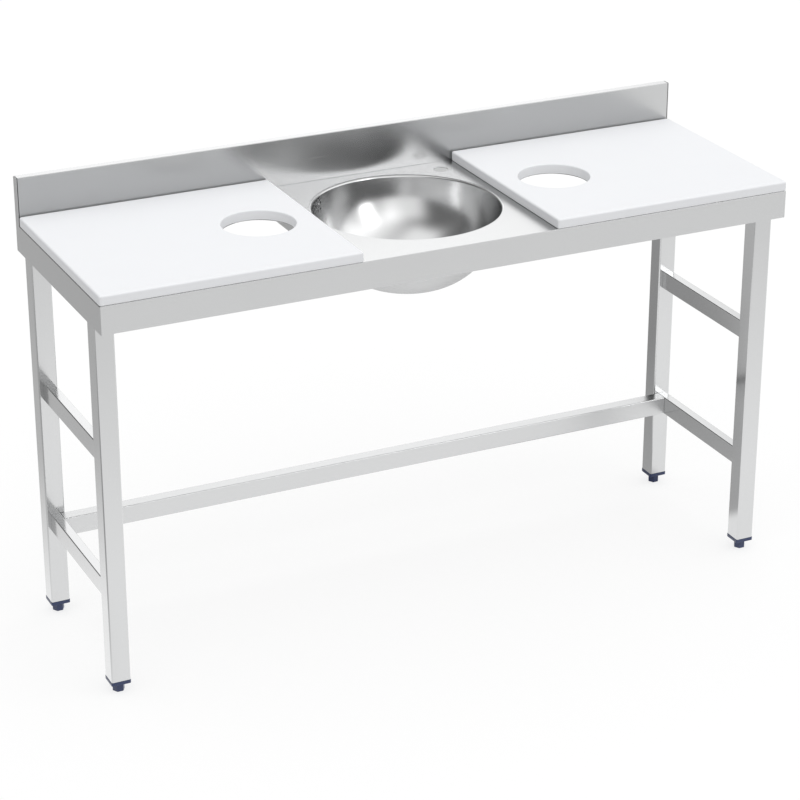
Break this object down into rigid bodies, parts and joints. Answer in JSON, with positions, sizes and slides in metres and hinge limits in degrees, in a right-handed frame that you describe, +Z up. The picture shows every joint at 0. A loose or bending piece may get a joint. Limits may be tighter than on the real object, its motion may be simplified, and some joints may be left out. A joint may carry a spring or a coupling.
{
  "type": "sink table",
  "caption": "Stainless steel wash table with a round bowl, a backsplash, loose cutting boards over round waste holes, tube legs and levelling feet.",
  "frame": {"origin": "on the floor, at the middle of the table's footprint", "axes": "+X to the right along the front, +Y back towards the backsplash, +Z up"},
  "size_m": [1.5, 0.5, 0.95],
  "materials": {
    "worktop_steel": "fine brushed, satin",
    "bowl_steel": "polished satin",
    "tube_steel": "polished satin",
    "fitting_steel": "plain, as rolled",
    "white_polyethylene": "fine matte grain",
    "navy_plastic": "moulded, matte",
    "black_rubber": "matte",
    "grey_plastic": "moulded, matte"
  },
  "bodies": {
    "table": {"worktop_sheet": "worktop_steel", "backsplash": "worktop_steel", "backsplash_end_left": "worktop_steel", "backsplash_end_right": "worktop_steel", "sink_bowl": "bowl_steel", "drain_flange": "fitting_steel", "drain_gasket_upper": "black_rubber", "drain_gasket_lower": "black_rubber", "drain_body": "grey_plastic", "drain_screw": "fitting_steel", "overflow_gasket": "black_rubber", "overflow_elbow": "grey_plastic", "overflow_screw": "fitting_steel", "overflow_hose": "black_rubber", "hose_clip_upper": "fitting_steel", "hose_clip_lower": "fitting_steel", "deck_channel_inner_left": "fitting_steel", "deck_channel_inner_right": "fitting_steel", "deck_channel_outer_left": "fitting_steel", "deck_channel_outer_right": "fitting_steel", "end_rail_left": "fitting_steel", "end_rail_right": "fitting_steel", "leg_front_left": "tube_steel", "leg_front_right": "tube_steel", "leg_rear_left": "tube_steel", "leg_rear_right": "tube_steel", "side_rail_mid_left": "tube_steel", "side_rail_mid_right": "tube_steel", "side_rail_low_left": "tube_steel", "side_rail_low_right": "tube_steel", "stretcher": "tube_steel", "leg_plate_front_left": "fitting_steel", "leg_plate_front_right": "fitting_steel", "leg_plate_rear_left": "fitting_steel", "leg_plate_rear_right": "fitting_steel", "leg_screw_front_left_a": "fitting_steel", "leg_screw_front_left_b": "fitting_steel", "leg_screw_front_right_a": "fitting_steel", "leg_screw_front_right_b": "fitting_steel", "leg_screw_rear_left_a": "fitting_steel", "leg_screw_rear_left_b": "fitting_steel", "leg_screw_rear_right_a": "fitting_steel", "leg_screw_rear_right_b": "fitting_steel", "leg_cap_front_left": "navy_plastic", "leg_cap_front_right": "navy_plastic", "leg_cap_rear_left": "navy_plastic", "leg_cap_rear_right": "navy_plastic"},
    "board_left": {"cutting_board_left": "white_polyethylene"},
    "board_right": {"cutting_board_right": "white_polyethylene"},
    "plug": {"drain_plug": "black_rubber"},
    "stud_front_left": {"foot_stud_front_left": "fitting_steel"},
    "stud_front_right": {"foot_stud_front_right": "fitting_steel"},
    "stud_rear_left": {"foot_stud_rear_left": "fitting_steel"},
    "stud_rear_right": {"foot_stud_rear_right": "fitting_steel"},
    "pad_front_left": {"foot_pad_front_left": "navy_plastic"},
    "pad_front_right": {"foot_pad_front_right": "navy_plastic"},
    "pad_rear_left": {"foot_pad_rear_left": "navy_plastic"},
    "pad_rear_right": {"foot_pad_rear_right": "navy_plastic"}
  },
  "joints": [
    {"name": "board_left_lift", "type": "slide", "parent": "table", "child": "board_left", "axis": [0, 0, 1], "range_m": [0, 0.15]},
    {"name": "board_right_lift", "type": "slide", "parent": "table", "child": "board_right", "axis": [0, 0, 1], "range_m": [0, 0.15]},
    {"name": "plug_lift", "type": "slide", "parent": "table", "child": "plug", "axis": [0, 0, 1], "range_m": [0, 0.3]},
    {"name": "foot_front_left_extend", "type": "slide", "parent": "table", "child": "stud_front_left", "axis": [0, 0, -1], "range_m": [0, 0.025]},
    {"name": "foot_front_right_extend", "type": "slide", "parent": "table", "child": "stud_front_right", "axis": [0, 0, -1], "range_m": [0, 0.025]},
    {"name": "foot_rear_left_extend", "type": "slide", "parent": "table", "child": "stud_rear_left", "axis": [0, 0, -1], "range_m": [0, 0.025]},
    {"name": "foot_rear_right_extend", "type": "slide", "parent": "table", "child": "stud_rear_right", "axis": [0, 0, -1], "range_m": [0, 0.025]},
    {"name": "foot_front_left_turn", "type": "hinge", "parent": "stud_front_left", "child": "pad_front_left", "pos_m": [-0.7285, -0.185, 0], "axis": [0, 0, -1], "range_deg": [0, 6050]},
    {"name": "foot_front_right_turn", "type": "hinge", "parent": "stud_front_right", "child": "pad_front_right", "pos_m": [0.7285, -0.185, 0], "axis": [0, 0, -1], "range_deg": [0, 6050]},
    {"name": "foot_rear_left_turn", "type": "hinge", "parent": "stud_rear_left", "child": "pad_rear_left", "pos_m": [-0.7285, 0.188, 0], "axis": [0, 0, -1], "range_deg": [0, 6050]},
    {"name": "foot_rear_right_turn", "type": "hinge", "parent": "stud_rear_right", "child": "pad_rear_right", "pos_m": [0.7285, 0.188, 0], "axis": [0, 0, -1], "range_deg": [0, 6050]}
  ],
  "couplings": [
    {"joint": "foot_front_left_turn", "follows": "foot_front_left_extend", "rad_per_m": 4188.8},
    {"joint": "foot_front_right_turn", "follows": "foot_front_right_extend", "rad_per_m": 4188.8},
    {"joint": "foot_rear_left_turn", "follows": "foot_rear_left_extend", "rad_per_m": 4188.8},
    {"joint": "foot_rear_right_turn", "follows": "foot_rear_right_extend", "rad_per_m": 4188.8}
  ]
}
